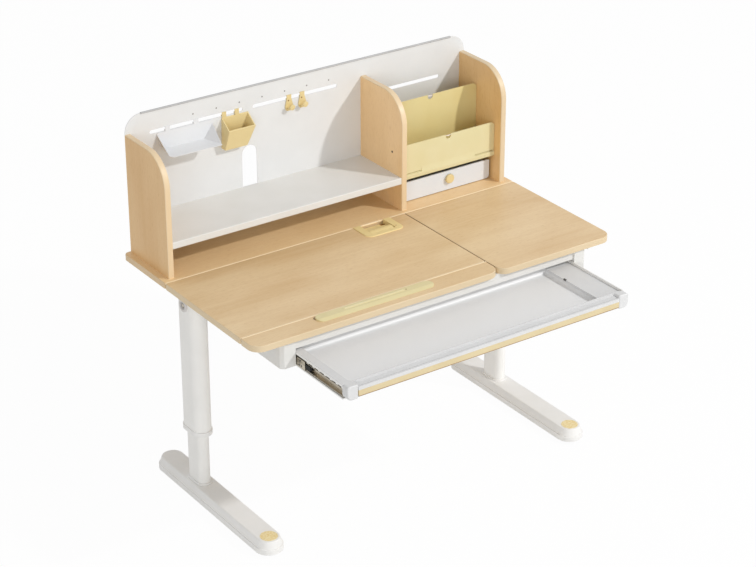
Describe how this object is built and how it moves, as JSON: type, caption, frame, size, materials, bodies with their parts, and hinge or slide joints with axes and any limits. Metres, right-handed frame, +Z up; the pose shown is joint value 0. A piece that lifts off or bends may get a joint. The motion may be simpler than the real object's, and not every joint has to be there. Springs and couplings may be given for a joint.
{
  "type": "student desk with hutch",
  "caption": "Height-adjustable study desk with a tilting board, a wide shallow drawer, and a low hutch with shelf, file rack, small drawer and hanging accessories",
  "frame": {"origin": "on the floor, under the middle of the overall box with the drawer open as pictured", "axes": "+X to the sitter's right along the top's long side, +Y from the sitter to the back panel, +Z up"},
  "size_m": [1.208, 0.9276, 1.095],
  "materials": {
    "wood_board": "satin laminate",
    "white_shell": "moulded satin",
    "white_steel": "powder coat",
    "yellow_plastic": "moulded satin",
    "grey_trim": "matt",
    "steel": "zinc plated",
    "pad_rubber": "matt"
  },
  "bodies": {
    "base": {"left_foot": "white_shell", "right_foot": "white_shell", "foot_discs": "yellow_plastic", "foot_pads": "pad_rubber", "foot_bolts": "steel", "left_inner_column": "white_steel", "right_inner_column": "white_steel", "column_flanges": "white_shell", "lift_nuts": "grey_trim"},
    "desk": {"left_outer_column": "white_steel", "right_outer_column": "white_steel", "column_collars": "white_shell", "drive_bearings": "steel", "crank_boss": "white_shell", "side_rails": "white_steel", "cross_beam": "white_steel", "front_rail": "white_steel", "middle_rail": "white_steel", "slide_boxes": "white_steel", "outer_slides": "steel", "rear_board": "wood_board", "right_board": "wood_board", "front_strip": "wood_board", "top_screws": "steel", "hinge_fixed_leaves": "steel", "hinge_pins": "steel", "tilt_guides": "steel", "book_stop": "yellow_plastic", "left_upright": "wood_board", "divider": "wood_board", "right_upright": "wood_board", "shelf": "white_shell", "back_panel": "white_steel", "panel_trim": "grey_trim", "hutch_screws": "steel", "file_rack": "yellow_plastic", "file_front_plate": "yellow_plastic", "small_drawer_glides": "grey_trim"},
    "tilt_top": {"tilt_board": "wood_board", "hinge_moving_leaves": "steel", "tilt_ears": "steel", "handle_bezel": "yellow_plastic"},
    "struts": {"tilt_struts": "steel", "strut_rods": "steel"},
    "paddle": {"release_paddle": "yellow_plastic"},
    "main_drawer": {"drawer_tray": "white_shell", "drawer_front_rail": "white_shell", "drawer_end_caps": "white_shell", "drawer_strip": "yellow_plastic", "inner_slides": "steel"},
    "slide_middles": {"middle_slides": "steel"},
    "pencil_drawer": {"small_drawer": "white_shell", "small_drawer_knob": "yellow_plastic"},
    "shaft": {"drive_shaft": "steel"},
    "left_screw": {"left_lead_screw": "steel"},
    "right_screw": {"right_lead_screw": "steel"},
    "tray": {"wall_tray": "white_steel"},
    "pens": {"pen_box": "yellow_plastic"},
    "hook_a": {"left_hook": "yellow_plastic"},
    "hook_b": {"right_hook": "yellow_plastic"}
  },
  "joints": [
    {"name": "lift", "type": "slide", "parent": "base", "child": "desk", "axis": [0, 0, 1], "range_m": [-0.13, 0.07]},
    {"name": "tilt", "type": "hinge", "parent": "desk", "child": "tilt_top", "pos_m": [0, -0.15985, 0.6795], "axis": [1, 0, 0], "range_deg": [0, 40]},
    {"name": "strut_fold", "type": "hinge", "parent": "tilt_top", "child": "struts", "pos_m": [0, -0.00189, 0.654], "axis": [1, 0, 0], "range_deg": [-80, 0]},
    {"name": "paddle_press", "type": "hinge", "parent": "tilt_top", "child": "paddle", "pos_m": [0, 0.16775, 0.6785], "axis": [1, 0, 0], "range_deg": [-5, 0], "stiffness_Nm_per_rad": 0.5, "springref_deg": 6.88},
    {"name": "main_drawer_slide", "type": "slide", "parent": "desk", "child": "main_drawer", "axis": [0, -1, 0], "range_m": [-0.231, 0.02]},
    {"name": "slide_middle", "type": "slide", "parent": "desk", "child": "slide_middles", "axis": [0, -1, 0], "range_m": [-0.1155, 0.01]},
    {"name": "pencil_drawer_slide", "type": "slide", "parent": "desk", "child": "pencil_drawer", "axis": [0, -1, 0], "range_m": [0, 0.11]},
    {"name": "crank_turn", "type": "hinge", "parent": "desk", "child": "shaft", "pos_m": [0, 0.20675, 0.614], "axis": [1, 0, 0], "range_deg": [-4680, 2520]},
    {"name": "left_screw_turn", "type": "hinge", "parent": "desk", "child": "left_screw", "pos_m": [-0.5335, 0.20675, 0.614], "axis": [0, 0, 1], "range_deg": [-4680, 2520]},
    {"name": "right_screw_turn", "type": "hinge", "parent": "desk", "child": "right_screw", "pos_m": [0.5335, 0.20675, 0.614], "axis": [0, 0, 1], "range_deg": [-2520, 4680]},
    {"name": "tray_slide", "type": "slide", "parent": "desk", "child": "tray", "axis": [1, 0, 0], "range_m": [-0.04, 0.008]},
    {"name": "pen_box_slide", "type": "slide", "parent": "desk", "child": "pens", "axis": [1, 0, 0], "range_m": [-0.008, 0.01]},
    {"name": "left_hook_slide", "type": "slide", "parent": "desk", "child": "hook_a", "axis": [1, 0, 0], "range_m": [-0.1, 0.008]},
    {"name": "right_hook_slide", "type": "slide", "parent": "desk", "child": "hook_b", "axis": [1, 0, 0], "range_m": [-0.008, 0.1]}
  ],
  "couplings": [
    {"joint": "strut_fold", "follows": "tilt", "ratio": -2},
    {"joint": "slide_middle", "follows": "main_drawer_slide", "ratio": 0.5},
    {"joint": "crank_turn", "follows": "lift", "rad_per_m": 628.32},
    {"joint": "left_screw_turn", "follows": "lift", "rad_per_m": 628.32},
    {"joint": "right_screw_turn", "follows": "lift", "rad_per_m": -628.32}
  ]
}
